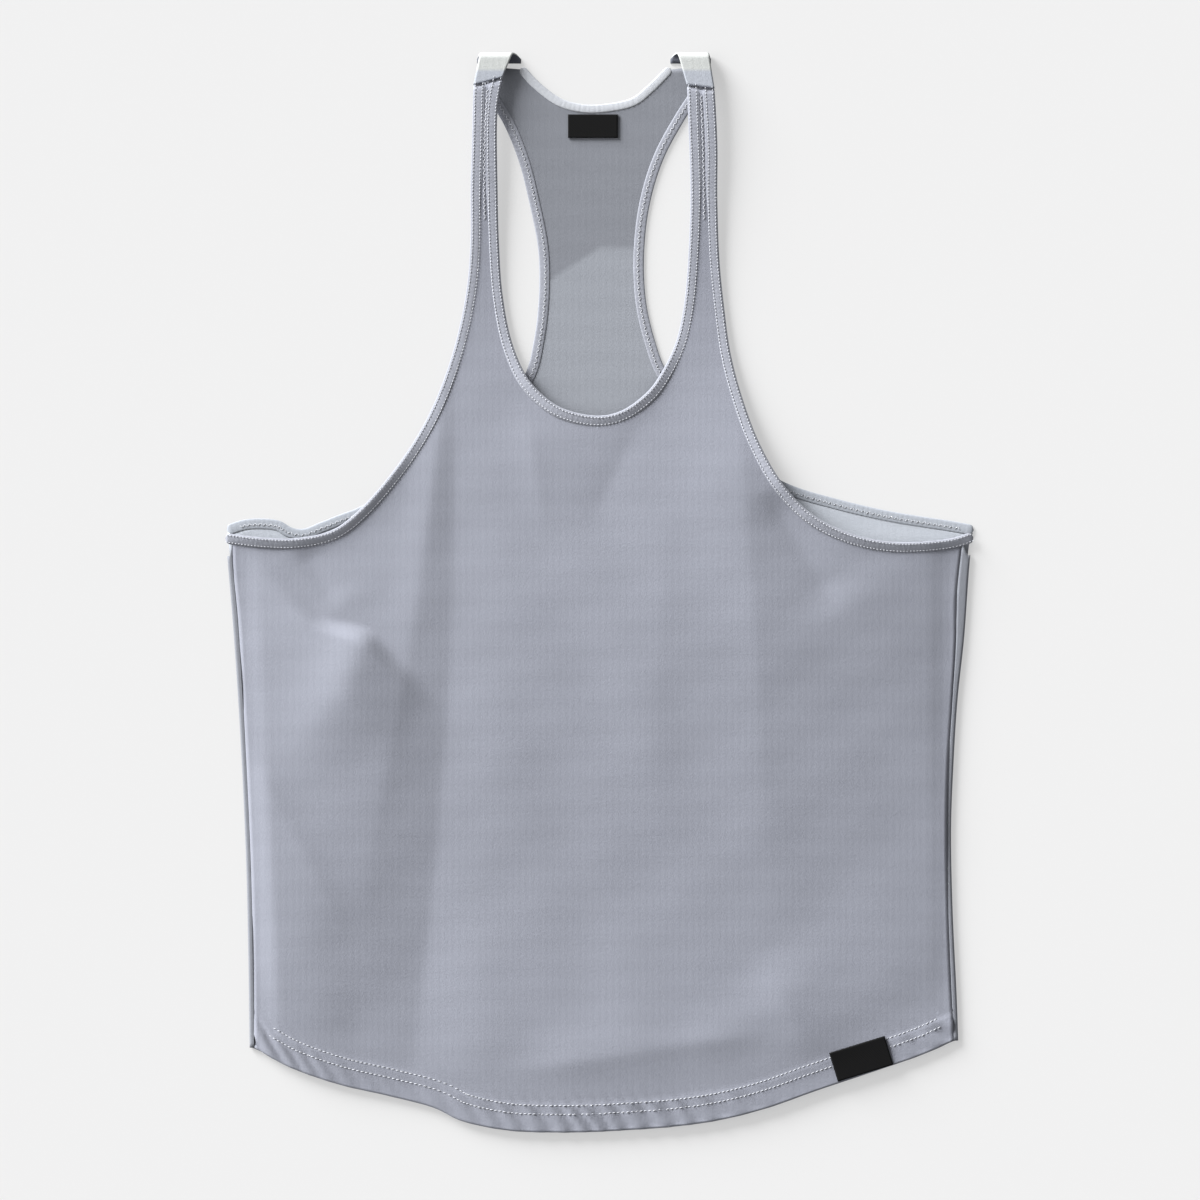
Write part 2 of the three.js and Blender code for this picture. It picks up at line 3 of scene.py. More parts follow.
import bmesh
import bpy
import numpy as np
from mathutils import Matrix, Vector


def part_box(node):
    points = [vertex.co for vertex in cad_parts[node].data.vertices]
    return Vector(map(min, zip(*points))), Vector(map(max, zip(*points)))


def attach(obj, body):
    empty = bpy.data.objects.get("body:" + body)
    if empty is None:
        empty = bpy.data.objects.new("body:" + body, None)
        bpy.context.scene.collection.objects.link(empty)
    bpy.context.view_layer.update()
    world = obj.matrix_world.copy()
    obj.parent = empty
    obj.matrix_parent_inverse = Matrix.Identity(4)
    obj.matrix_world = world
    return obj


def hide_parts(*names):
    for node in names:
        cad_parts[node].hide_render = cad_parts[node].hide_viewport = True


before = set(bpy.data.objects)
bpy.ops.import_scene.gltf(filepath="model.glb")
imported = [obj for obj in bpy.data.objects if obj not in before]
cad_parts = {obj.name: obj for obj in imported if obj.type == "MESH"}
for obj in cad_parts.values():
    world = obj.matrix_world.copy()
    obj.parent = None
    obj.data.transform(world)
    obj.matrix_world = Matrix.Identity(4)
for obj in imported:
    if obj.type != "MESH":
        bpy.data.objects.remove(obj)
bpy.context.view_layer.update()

# The studio. The garment lies on a pale sheet lit from below, under soft daylight from the upper left. The
# camera looks straight down on it. Sizes are in millimetres from the middle of the front as it was drawn, and
# in_frame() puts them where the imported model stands.
MM = 0.001
NECK_LABEL = {"left": -22.5, "right": 12.5, "bottom": 319.5, "top": 336}
label_low, label_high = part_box("neck_label")
SHIFT = np.array([label_low.x / MM - NECK_LABEL["left"], label_high.y / MM - NECK_LABEL["top"], 0])
VIEW_WIDTH = 844.4
VIEW_CENTRE = (0, -5.6)
VIEW_HEIGHT = 6000
FLOOR = {"size": 6.0, "colour": (0.35, 0.35, 0.351), "glow": 0.47}
LIGHTS = {
    "window": {"from": (-0.66, 0.66, 0.30), "strength": 7.6, "softness": 30},
    "bounce": {"from": (-0.95, 0.10, 0.45), "strength": 1.3, "softness": 60},
}
DAYLIGHT = 0.25


def in_frame(points):
    """Points in millimetres on the drawing become metres in the model's frame: (point + shift) / 1000."""
    return (np.asarray(points, float) + SHIFT) * MM


class Wire:
    """A shader socket: arithmetic on it, or on a number and it, adds a Math node."""

    def __init__(self, finish, socket):
        self.finish = finish
        self.socket = socket

    def maths(self, operation, *values):
        return self.finish.node("ShaderNodeMath", {"operation": operation}, dict(enumerate(values)))

    def __add__(self, other):
        return self.maths("ADD", self, other)

    def __mul__(self, other):
        return self.maths("MULTIPLY", self, other)

    def __sub__(self, other):
        return self.maths("SUBTRACT", self, other)

    def __rsub__(self, other):
        return self.maths("SUBTRACT", other, self)

    __radd__ = __add__
    __rmul__ = __mul__


class Finish:
    """A material in the making. node() adds a node: its type, its settings, then its sockets by name or
    number."""

    def __init__(self, name):
        self.material = bpy.data.materials.new(name)
        self.material.use_nodes = True
        self.tree = self.material.node_tree
        self.tree.nodes.clear()

    def node(self, kind, settings=None, sockets=None, output=0):
        node = self.tree.nodes.new(kind)
        for key, value in (settings or {}).items():
            setattr(node, key, value)
        for key, value in (sockets or {}).items():
            if isinstance(value, Wire):
                self.tree.links.new(value.socket, node.inputs[key])
            else:
                node.inputs[key].default_value = value
        return Wire(self, node.outputs[output]) if node.outputs else None

    def mix(self, first, second, share):
        """A colour between two colours."""
        colours = {0: share, 6: first, 7: second}
        return self.node("ShaderNodeMix", {"data_type": "RGBA"}, colours, output=2)

    def step(self, value, low, high):
        """0 below low, 1 above high and a smooth step between them, all in metres."""
        sockets = {"Value": value, "From Min": low, "From Max": high}
        return self.node("ShaderNodeMapRange", {"interpolation_type": "SMOOTHSTEP"}, sockets)

    def noise(self, place, scale, detail=2.0, roughness=0.5):
        """Soft noise from 0 to 1 with cells 1 / scale metres wide."""
        sockets = {"Vector": place, "Scale": scale, "Detail": detail, "Roughness": roughness}
        return self.node("ShaderNodeTexNoise", None, sockets)

    def ribs(self, place, direction, scale):
        """Fine ribs side by side in one direction, a little uneven."""
        sockets = {"Vector": place, "Scale": scale, "Distortion": 0.6}
        return self.node("ShaderNodeTexWave", {"bands_direction": direction}, sockets)

    def done(self, surface):
        self.node("ShaderNodeOutputMaterial", None, {"Surface": surface})
        return self.material


scene = bpy.context.scene
scene.view_settings.view_transform = "Standard"

lens = bpy.data.cameras.new("camera")
lens.sensor_width = 36
lens.lens = lens.sensor_width * VIEW_HEIGHT / VIEW_WIDTH
lens.clip_end = 100
camera = bpy.data.objects.new("camera", lens)
camera.location = in_frame([*VIEW_CENTRE, VIEW_HEIGHT])
scene.collection.objects.link(camera)
scene.camera = camera

floor_finish = Finish("studio_floor")
floor_finish.done(floor_finish.node("ShaderNodeBsdfPrincipled", None, {
    "Base Color": (*FLOOR["colour"], 1),
    "Roughness": 0.9,
    "Specular IOR Level": 0.1,
    "Emission Color": (1, 1, 1, 1),
    "Emission Strength": FLOOR["glow"],
}))
half = FLOOR["size"] / 2
floor_mesh = bpy.data.meshes.new("studio_floor")
floor_corners = [(-half, -half, 0), (half, -half, 0), (half, half, 0), (-half, half, 0)]
floor_mesh.from_pydata(floor_corners, [], [(0, 1, 2, 3)])
floor_mesh.materials.append(floor_finish.material)
floor = bpy.data.objects.new("studio_floor", floor_mesh)
scene.collection.objects.link(floor)

for name, light in LIGHTS.items():
    lamp = bpy.data.lights.new(name, "SUN")
    lamp.energy = light["strength"]
    lamp.angle = math.radians(light["softness"])
    lamp.cycles.max_bounces = 0
    sun = bpy.data.objects.new(name, lamp)
    sun.rotation_mode = "QUATERNION"
    sun.rotation_quaternion = (-Vector(light["from"])).to_track_quat("-Z", "Y")
    scene.collection.objects.link(sun)

world = bpy.data.worlds.new("daylight")
world.use_nodes = True
world.node_tree.nodes["Background"].inputs["Color"].default_value = (1.0, 1.0, 1.0, 1)
world.node_tree.nodes["Background"].inputs["Strength"].default_value = DAYLIGHT
scene.world = world

# The front. One panel of thin brushed cotton jersey, cut with a deep neck and deep armholes that leave two
# narrow straps, its hem turned up double. It is laid over the back, and it falls in long soft folds.
WALL = 1.2
CENTRE = -1.5
HEM_BOTTOM = -379.5
HEM_DEPTH = 20
HEM_STEP = 0.45
FRONT_LEVEL = 3.0
SHOULDER_RISE = 5.4
ARMHOLE_BINDING = {"width": 7.5, "front": 2.0, "back": 1.8}
FRONT_NECK_BINDING = {"width": 8, "thick": 2.0}
BACK_NECK_BINDING = {"width": 6, "thick": 1.8}
TUCK = 2.0
SIDES = {
    "left": {
        "fold": [(-246.5, -320.5), (-247.5, -252), (-249, -188.5), (-253.5, -93.5), (-258.5, -19.5),
                 (-262, 22), (-262.8, 33)],
        "seam": [(-243, -320.5), (-244, -252), (-245.5, -188.5), (-250, -93.5), (-254.5, -19.5),
                 (-258.5, 22)],
    },
    "right": {
        "fold": [(252, -315.5), (251, -286), (248, -221.5), (247, -167), (248.5, -124.5), (251.5, -76),
                 (256, -34), (262, 36)],
        "seam": [(249, -315.5), (247.5, -286), (245, -221.5), (244, -167), (245, -124.5), (248, -76),
                 (250.5, -34), (251, -2)],
    },
}
EDGES = {
    "left": {
        "hem": [(-243, -320.5), (-219.5, -333.5), (-184.5, -346), (-148, -354.5), (-116, -363),
                (-98.5, -371.5), (-65.5, -378.5), (-28, -380), (-1.5, -379.5)],
        "front_armhole": [(-263, 41.5), (-238, 38.5), (-214, 38), (-188.5, 43.5), (-169.5, 57.5),
                          (-139.5, 93), (-120.5, 124.5), (-107.5, 156), (-98.5, 188), (-93, 219.5),
                          (-91, 251), (-91, 283), (-90, 318), (-89, 355.5)],
        "front_neck": [(-1.5, 124), (-25.5, 129), (-40, 138.5), (-52, 152.5), (-62, 176), (-68.5, 209),
                       (-71, 244), (-72, 283), (-72, 338), (-69, 357.5)],
        "back_armhole": [(-263.5, 47), (-250, 51), (-236, 51.7), (-225, 50), (-217, 45.5), (-209, 44.5),
                         (-197, 49), (-183, 54.6), (-169, 60),
                         (-119.5, 91.5), (-81, 121), (-53.5, 152), (-46.5, 177.5), (-43, 209), (-43.5, 240.5),
                         (-49.5, 272.5), (-57.5, 304), (-68.5, 330.5), (-81, 350), (-86.5, 361),
                         (-87, 369.5)],
        "back_neck": [(-1.5, 343), (-14, 343.5), (-27.5, 347.5), (-43, 359), (-53.5, 370.5)],
    },
    "right": {
        "hem": [(249, -315.5), (227.5, -325), (190, -338), (152.5, -350.5), (117, -363), (83, -371.5),
                (50.5, -376), (15.5, -378.5), (-1.5, -379.5)],
        "front_armhole": [(261.2, 42.4), (250, 38.6), (233, 36), (203.5, 35.5), (175, 41.5), (149, 55),
                          (128.5, 76), (112.5, 103.5), (100.5, 135), (92, 167), (87.5, 198.5), (84, 233.5),
                          (82.5, 276), (82.5, 314.5), (80.5, 353)],
        "front_neck": [(-1.5, 124), (15, 127.5), (33, 140.5), (42, 152.5), (53, 175), (59, 202), (62.5, 244),
                       (63.5, 283), (62, 330.5), (61.2, 352.5)],
        "back_armhole": [(263.5, 47), (247.5, 50), (206.5, 56.5), (169, 65), (129.5, 77.5), (95, 100),
                         (70.5, 124.5), (47, 155), (38.5, 177.5), (32.5, 204), (31, 237), (35, 272.5),
                         (44.5, 304), (58.5, 330.5), (71, 350), (77, 361), (78, 369.5)],
        "back_neck": [(-1.5, 343), (22, 347.5), (33, 356), (47.5, 370.5)],
    },
}
SIGN = {"left": 1, "right": -1}
# Where each row of cloth starts on the side and armhole, and ends on the centre line and neck
FRONT_ROWS = np.array([(0, 0), (0.054, 0.038), (0.062, 0.043), (1, 0.669), (1.118, 0.74), (1.18, 0.79),
                       (1.237, 0.832), (1.348, 0.91), (1.441, 1), (1.505, 1.168), (1.572, 1.245),
                       (1.648, 1.364), (1.749, 1.589), (2, 2)])
# The long folds that hang from the armholes. At each of these heights a line of the cloth lies at x, and z
# above the side seams. Between two lines the cloth is nearly straight, and soft rounds each bend.
HEIGHTS = (125, 70, 0, -65, -145, -210, -290, -360)
LINES = {
    "left seam": {"x": (-255, -255, -255, -253, -250, -248, -246, -244),
                  "z": (0.5, 0.5, 0.5, 0.5, 1.8, 2.6, 3, 2.6)},
    "left swell": {"x": (-222, -220, -216, -214, -212, -207, -196, -190),
                   "z": (1, 2, 2, 1.6, 4, 5.4, 5.6, 4.6), "soft": (14,) * 8},
    "ridge foot": {"x": (-131, -137, -147.5, -154, -162.6, -169.6, -171, -172),
                   "z": (3.2, 4, 4.8, 6.4, 6, 4.6, 3, 2.4), "soft": (8, 8, 8, 8, 7, 6, 5, 5)},
    "left ridge": {"x": (-111.5, -118.5, -127.5, -138.6, -154.1, -164.5, -168, -169),
                   "z": (5.6, 6.2, 6.9, 7.4, 6.1, 4.5, 2.9, 2.3), "soft": (3, 3, 3, 3, 3, 4, 9, 12)},
    "left valley": {"x": (-102, -102.5, -103.5, -106.3, -112.3, -117.8, -126.5, -133.5),
                    "z": (4.4, 4.4, 5.4, 5.4, 3.4, 1.5, 0.5, 0.4), "soft": (3, 2, 2, 2, 2, 2, 3, 4)},
    "valley side": {"x": (-75, -74, -72, -72, -75, -80, -84, -86), "z": (5, 5.6, 7.2, 7.4, 5.8, 4.0, 3.2, 3),
                    "soft": (12,) * 8},
    "middle": {"x": (-20,) * 8, "z": (4.8, 5.6, 7.8, 8.2, 6.6, 4.9, 4, 3.6), "soft": (40,) * 8},
    "middle ridge": {"x": (47, 46, 43.5, 40, 36, 33, 30, 30), "z": (5.2, 6.4, 9, 9.4, 7.2, 5.2, 4.2, 3.6),
                     "soft": (10, 8, 4, 4, 8, 20, 20, 20)},
    "middle valley": {"x": (62, 62, 60, 58, 56, 55, 54, 54), "z": (5.2, 6.4, 8.6, 8.9, 6.9, 5, 4.1, 3.6),
                      "soft": (15,) * 8},
    "right ridge": {"x": (97.5, 102, 107, 110.6, 114.5, 121, 127, 130),
                    "z": (7.4, 8.6, 10.2, 10.2, 8, 6.2, 5, 4.2), "soft": (3, 3, 2.5, 3, 6, 20, 30, 30)},
    "right fall": {"x": (140, 145, 150, 152, 152, 152, 152, 152), "z": (5, 6.2, 7.4, 7.4, 6, 4.8, 4, 3.4),
                   "soft": (25,) * 8},
    "right side": {"x": (205,) * 8, "z": (2.5, 2.8, 4, 4, 3.4, 2.8, 2.4, 2.2), "soft": (25,) * 8},
    "right seam": {"x": (250,) * 8, "z": (0.4,) * 8},
}
# Shorter folds: upper end, lower end, rise at each, how far each falls away to its left and right, and how
# quickly it ends
FOLDS = [
    ("armhole crease", (-207, 28), (-187, -6), (-1.8, -1.0), 7, 14, 8),
    ("low crease", (-248, -112), (-188, -222), (1.4, 1.8), 40, 12, 30),
    ("neck ridge", (-50, 114), (-41, 55), (1.8, 1.4), 26, 16, 25),
    ("neck trough", (25, 112), (-2, 58), (-2, -1.6), 22, 26, 25),
    ("right crease", (122, 62), (163, -4), (-2.6, -1.8), 14, 26, 14),
    ("hem ridge", (121, -270), (149, -325), (1.8, 2), 24, 40, 20),
    ("hem roll", (-45, -334), (96, -313), (1.6, 1.8), 13, 14, 30),
]
# The billow under the left armhole: its top corner, its rise along the way down to the right with each bend's
# softness, and its straight upper edge, which steps up where the billow is steepest
FAN = {
    "top": (-243.5, 23.2),
    "rise": [(0, 0, 4), (76, 5.0, 12), (101, 9.4, 10), (150, 0, 24)],
    "edge": {"step": 18, "from": 58, "to": 100, "soft": 7},
    "fade": (-100, -12),
    "lean": 0.45,
    "straight below": 25,
}
PUCKERS = {"pitch": 16, "fine pitch": 9.5, "rise": 1.5, "slant": 0.9}
WAVES = {
    "rise": 0.08,
    "length": 9,
    "sizes and turns": [(1, 0.3), (1.4, 1.1), (1.9, -0.5), (0.8, 2.2), (2.6, 0.1), (3.1, 1.5)],
}
# Where the front starts to rise from its side seams, how low it lies along the hem, where the folds end at
# the chest, and where the straps climb to the shoulders
SIDE_RISE = {"left": 258, "lean": 0.048, "right": 250, "slope": 20}
HEM_REST = {"share": 0.4, "height": 70}
CHEST = (70, 200)
STRAP_CLIMB = (200, 350)


def smoothstep(value, low, high):
    """0 below low, 1 above high, and 3 t^2 - 2 t^3 between them."""
    t = np.clip((value - low) / (high - low), 0, 1)
    return t * t * (3 - 2 * t)


def evenly(points, count=1500):
    """A polyline with its points spread evenly along its length."""
    length = np.concatenate([[0], np.cumsum(np.linalg.norm(np.diff(points, axis=0), axis=1))])
    even = np.linspace(0, length[-1], count)
    return np.column_stack([np.interp(even, length, points[:, k]) for k in range(points.shape[1])])


def smooth_curve(points):
    """A centripetal Catmull-Rom curve: cubics between the points, their slopes weighing the gaps beside."""
    p = np.asarray(points, float)
    p = np.vstack([2 * p[0] - p[1], p, 2 * p[-1] - p[-2]])
    gap = np.sqrt(np.linalg.norm(np.diff(p, axis=0), axis=1))[:, None]
    before, here, after = gap[:-2], gap[1:-1], gap[2:]
    a, b, c, d = p[:-3], p[1:-2], p[2:-1], p[3:]
    leave = ((b - a) / before - (c - a) / (before + here) + (c - b) / here) * here
    arrive = ((c - b) / here - (d - b) / (here + after) + (d - c) / after) * here
    t = np.linspace(0, 1, 40, endpoint=False)[None, :, None]
    b, c, leave, arrive = (v[:, None, :] for v in (b, c, leave, arrive))
    curve = b + leave * t + (3 * (c - b) - 2 * leave - arrive) * t**2 + (2 * (b - c) + leave + arrive) * t**3
    return evenly(np.vstack([curve.reshape(-1, 2), p[-2:-1]]))


def point_at(curve, share):
    """Points at shares from 0 to 1 of a curve's length."""
    even = np.linspace(0, 1, len(curve))
    return np.stack([np.interp(share, even, curve[:, k]) for k in range(curve.shape[1])], axis=-1)


def beside(curve, distance):
    """A curve moved sideways: each point plus the distance times the normal on its left."""
    along = np.gradient(curve, axis=0)
    along /= np.linalg.norm(along, axis=1, keepdims=True)
    return curve + np.reshape(distance, (-1, 1)) * np.column_stack([-along[:, 1], along[:, 0]])


def neck_edge(key):
    """A neck's edge from the right shoulder down and up to the left one."""
    return smooth_curve([*EDGES["right"][key][:0:-1], *EDGES["left"][key]])


def neck_cut(key, distance):
    """The cloth's cut inside a neck's edge, as its left and right half from the centre line up."""
    cut = beside(neck_edge(key), distance)
    after = int(np.argmax(cut[:, 0] < CENTRE))
    share = (CENTRE - cut[after - 1, 0]) / (cut[after, 0] - cut[after - 1, 0])
    middle = cut[after - 1] + share * (cut[after] - cut[after - 1])
    middle[0] = CENTRE
    halves = {"left": cut[after:], "right": cut[:after][::-1]}
    return {hand: evenly(np.vstack([middle, half])) for hand, half in halves.items()}


HEM_LINE = np.vstack([smooth_curve(EDGES["left"]["hem"]), smooth_curve(EDGES["right"]["hem"])[::-1]])


def above_hem(x, y):
    """Distance up from the hem's edge."""
    return y - np.interp(x, HEM_LINE[:, 0], HEM_LINE[:, 1])


def along_height(values):
    """A value that changes down the garment: a smooth curve through its values at HEIGHTS."""
    curve = smooth_curve(list(zip(HEIGHTS, values)))[::-1]
    return lambda y: np.interp(y, curve[:, 0], curve[:, 1])


FOLD_LINES = [{key: along_height(values) for key, values in line.items()} for line in LINES.values()]


def long_folds(x, y):
    """A broken line across the cloth, each bend turning its slope by (t + sqrt(t^2 + soft^2)) / 2."""
    places = [line["x"](y) for line in FOLD_LINES]
    levels = [line["z"](y) for line in FOLD_LINES]
    slopes = [(levels[i + 1] - levels[i]) / (places[i + 1] - places[i]) for i in range(len(FOLD_LINES) - 1)]
    z = levels[0] + slopes[0] * (x - places[0])
    for i in range(1, len(slopes)):
        past = x - places[i]
        z = z + (slopes[i] - slopes[i - 1]) * (past + np.hypot(past, FOLD_LINES[i]["soft"](y))) / 2
    return z


def fold_height(x, y, fold, crest=4):
    """A ridge or trough: rise times exp of minus the distance across, with a rounded crest and soft ends."""
    _, top, foot, rise, left, right, ends = fold
    line = np.subtract(foot, top).astype(float)
    length = np.hypot(*line)
    line /= length
    along = (x - top[0]) * line[0] + (y - top[1]) * line[1]
    across = line[0] * (y - top[1]) - line[1] * (x - top[0])
    fall = np.exp(-(np.hypot(across, crest) - crest) / np.where(across < 0, left, right))
    fade = smoothstep(along, -ends, ends) * smoothstep(length - along, -ends, ends)
    return (rise[0] + (rise[1] - rise[0]) * np.clip(along / length, 0, 1)) * fall * fade


def fan_height(x, y):
    """The billow: u runs down to the right from its corner and v up to the right. Its rise is a broken line
    in u, its bends rounded as in long_folds(), between the upper edge and the fade below."""
    u = ((x - FAN["top"][0]) - (y - FAN["top"][1])) / math.sqrt(2)
    v = ((x - FAN["top"][0]) + (y - FAN["top"][1])) / math.sqrt(2)
    reach = u + FAN["lean"] * np.maximum(v, -FAN["straight below"])
    places, levels, softs = zip(*FAN["rise"])
    slopes = [0, *np.diff(levels) / np.diff(places), 0]
    z = sum((slopes[i + 1] - slopes[i]) * (reach - place + np.hypot(reach - place, softs[i])) / 2
            for i, place in enumerate(places))
    edge = FAN["edge"]["step"] * smoothstep(u, FAN["edge"]["from"], FAN["edge"]["to"])
    above = smoothstep(edge - v, -FAN["edge"]["soft"], FAN["edge"]["soft"])
    return z * above * smoothstep(v, *FAN["fade"])


def front_height(x, y):
    """Middle height of the front's cloth: level at the side seams, folded between, higher on the straps."""
    from_left = x + SIDE_RISE["left"] + np.minimum(y, 0) * SIDE_RISE["lean"]
    sides = smoothstep(np.minimum(from_left, SIDE_RISE["right"] - x), 0, SIDE_RISE["slope"])
    hem = HEM_REST["share"] + (1 - HEM_REST["share"]) * smoothstep(above_hem(x, y), 0, HEM_REST["height"])
    chest = 1 - smoothstep(y, *CHEST)
    folds = sum(fold_height(x, y, fold) for fold in FOLDS) + fan_height(x, y)
    body = np.maximum(0, (long_folds(x, y) * chest + folds) * hem)
    return FRONT_LEVEL + sides * body + SHOULDER_RISE * smoothstep(y, *STRAP_CLIMB)


def hem_puckers(x, above):
    """Slanting waves where the stitching draws the turned hem in: sin of the distance along it, its pitch and
    strength uneven through slower sines, and finer ones between the stitches and just above them."""
    slant = x + PUCKERS["slant"] * above
    uneven = 1.9 * np.sin(slant / 29) + 0.8 * np.sin(slant / 11)
    wave = np.sin(slant * 2 * math.pi / PUCKERS["pitch"] + uneven)
    fine = np.sin(slant * 2 * math.pi / PUCKERS["fine pitch"])
    strength = 0.55 + 0.45 * np.sin(slant / 47 + 1.2)
    depth = smoothstep(above, -2, 4) * (1 - smoothstep(above, 9, HEM_DEPTH))
    rows = 0.35 * smoothstep(above, 9, 14) * (1 - smoothstep(above, HEM_DEPTH, HEM_DEPTH + 9))
    return PUCKERS["rise"] * strength * (wave * depth + fine * rows)


def soft_waves(x, y):
    """The uneven lie of thin cloth: a sum of long faint sines in several directions, each bent by another."""
    bend = 9 * np.sin(y / 61 + 0.7) + 7 * np.sin(x / 47)
    z = 0
    for size, turn in WAVES["sizes and turns"]:
        along = x * math.cos(turn) + y * math.sin(turn) + bend * size
        z = z + WAVES["rise"] * size * np.sin(along / (size * WAVES["length"]) + turn * 5)
    return z * smoothstep(above_hem(x, y), 5, 40) * (1 - smoothstep(y, 150, 230))


def front_surface(x, y):
    """The front with its finer relief: the step of the turned hem, its puckers and the soft waves."""
    above = above_hem(x, y)
    step = HEM_STEP * (1 - smoothstep(above, HEM_DEPTH - 1, HEM_DEPTH + 1))
    return front_height(x, y) + step + hem_puckers(x, above) + soft_waves(x, y)


def half_panel(side, armhole, neck, hem, bottom, table, stations, columns, height):
    """Rows from the outer edge to the centre line or neck: straight, the lowest bent to the hem's curve."""
    foot = np.array([[CENTRE, bottom], neck[0]])
    inner = np.interp(stations, table[:, 0], table[:, 1])
    start = np.where(stations[:, None] <= 1, point_at(side, stations), point_at(armhole, stations - 1))
    end = np.where(inner[:, None] <= 1, point_at(foot, inner), point_at(neck, inner - 1))
    u = np.linspace(0, 1, columns)
    rows = start[:, None] + (end - start)[:, None] * u[None, :, None]
    bend = point_at(hem, u) - (hem[0] + (hem[-1] - hem[0]) * u[:, None])
    rows = rows + (1 - smoothstep(stations, 0.06, 1))[:, None, None] * bend[None]
    return np.dstack([rows, height(rows[..., 0], rows[..., 1])])


def add_mesh(name, points, faces, finish):
    """A mesh from points in millimetres, equal points made one, smooth, at the origin of the frame."""
    mesh = bpy.data.meshes.new(name)
    mesh.from_pydata(in_frame(points), [], faces)
    cloth = bmesh.new()
    cloth.from_mesh(mesh)
    bmesh.ops.remove_doubles(cloth, verts=cloth.verts, dist=2e-5)
    cloth.to_mesh(mesh)
    cloth.free()
    mesh.polygons.foreach_set("use_smooth", np.ones(len(mesh.polygons), bool))
    mesh.materials.append(finish)
    piece = bpy.data.objects.new(name, mesh)
    scene.collection.objects.link(piece)
    return piece


def grid_faces(rows, columns, start=0, closed=False):
    """The four-sided faces of a grid of points numbered row by row, closed round its columns or open."""
    number = start + np.arange(rows * columns).reshape(rows, columns)
    if closed:
        number = np.hstack([number, number[:, :1]])
    corners = [number[:-1, :-1], number[:-1, 1:], number[1:, 1:], number[1:, :-1]]
    return np.stack(corners, axis=-1).reshape(-1, 4)


def cloth_piece(name, sheets, wall, finish, inside=None):
    """Sheets of points joined where they meet, given the cloth's wall, half of it on each side."""
    faces = []
    start = 0
    for sheet in sheets:
        faces.append(grid_faces(*sheet.shape[:2], start))
        start += sheet.shape[0] * sheet.shape[1]
    points = np.vstack([sheet.reshape(-1, 3) for sheet in sheets])
    piece = add_mesh(name, points, np.vstack(faces), finish)
    shell = piece.modifiers.new("wall", "SOLIDIFY")
    shell.thickness = wall * MM
    shell.offset = 0
    if inside:
        piece.data.materials.append(inside)
        shell.material_offset = 1
    return piece


def colour(red, green, blue, alpha=1.0):
    """A colour given as the screen shows it, 0 to 255, as the linear colour that a shader takes."""
    screen = np.array([red, green, blue]) / 255
    linear = np.where(screen <= 0.04045, screen / 12.92, ((screen + 0.055) / 1.055) ** 2.4)
    return (*(float(v) for v in linear), alpha)


def jersey(name, tone, dark, mottle=0.05, streaks=0.05, grain=0.15, zone=None):
    """Fine knit: wales and courses as a faint relief, with soft mottling, streaks across and a felted grain.
    A zone adds a second pair of colours, painted light, where its mask, worked out from the place, is 1."""
    finish = Finish(name)
    place = finish.node("ShaderNodeTexCoord", None, None, output=3)
    drawn = finish.node("ShaderNodeMapping", None, {"Vector": place, "Scale": (55, 420, 55)})
    clouds = finish.noise(place, 26, 3)
    lines = finish.noise(drawn, 1, 3, 0.6)
    felt = finish.noise(place, 850, 3, 0.65)
    shade = (clouds - 0.5) * (2 * mottle) + (lines - 0.5) * (2 * streaks) + (felt - 0.5) * (2 * grain) + 0.5
    base = finish.mix(dark, tone, shade)
    if zone:
        paler, mask = zone
        base = finish.mix(base, finish.mix(paler[0], paler[1], shade), mask(finish, place))
    wales = finish.ribs(place, "X", 380)
    courses = finish.ribs(place, "Y", 430)
    relief = wales * 0.25 + courses * 0.35 + felt * 0.8 + lines * 0.4
    bump = finish.node("ShaderNodeBump", None, {"Strength": 0.4, "Distance": 0.0006, "Height": relief})
    return finish.done(finish.node("ShaderNodeBsdfPrincipled", None, {
        "Base Color": base,
        "Roughness": 0.92,
        "Specular IOR Level": 0.25,
        "Sheen Weight": 0.18,
        "Sheen Roughness": 0.5,
        "Normal": bump,
    }))


front_cloth = jersey("jersey", colour(162, 165, 176), colour(134, 137, 149), streaks=0.03)
armhole_inset = ARMHOLE_BINDING["width"] - TUCK
front_neck = neck_cut("front_neck", FRONT_NECK_BINDING["width"] - TUCK)
front_stations = np.concatenate([
    np.linspace(0, 0.062, 14, endpoint=False),
    np.linspace(0.062, 1, 118, endpoint=False),
    np.linspace(1, 2, 126),
])
front_cuts = {}
front_sheets = []
for hand, sign in SIGN.items():
    armhole = beside(smooth_curve(EDGES[hand]["front_armhole"]), -sign * armhole_inset)
    armhole = evenly(armhole[int((0.012 if hand == "left" else 0.02) * len(armhole)):])
    front_cuts[hand] = armhole
    side = smooth_curve([*SIDES[hand]["seam"], tuple(armhole[0])])
    sheet = half_panel(side, armhole, front_neck[hand], smooth_curve(EDGES[hand]["hem"]), HEM_BOTTOM,
                       FRONT_ROWS, front_stations, 88, front_surface)
    front_sheets.append(sheet if sign > 0 else sheet[:, ::-1])
front = cloth_piece("front", front_sheets, WALL, front_cloth)
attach(front, "root")
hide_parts("front_panel")

# The back. A racerback of the same jersey, seen from its inside above the front. It lies flat on the surface
# and goes round the fold at each side, forward to the side seam.
BACK_LEVEL = WALL / 2
BACK_HEM_LIFT = 2
TURN_STEPS = 10
TOP_STEPS = 3
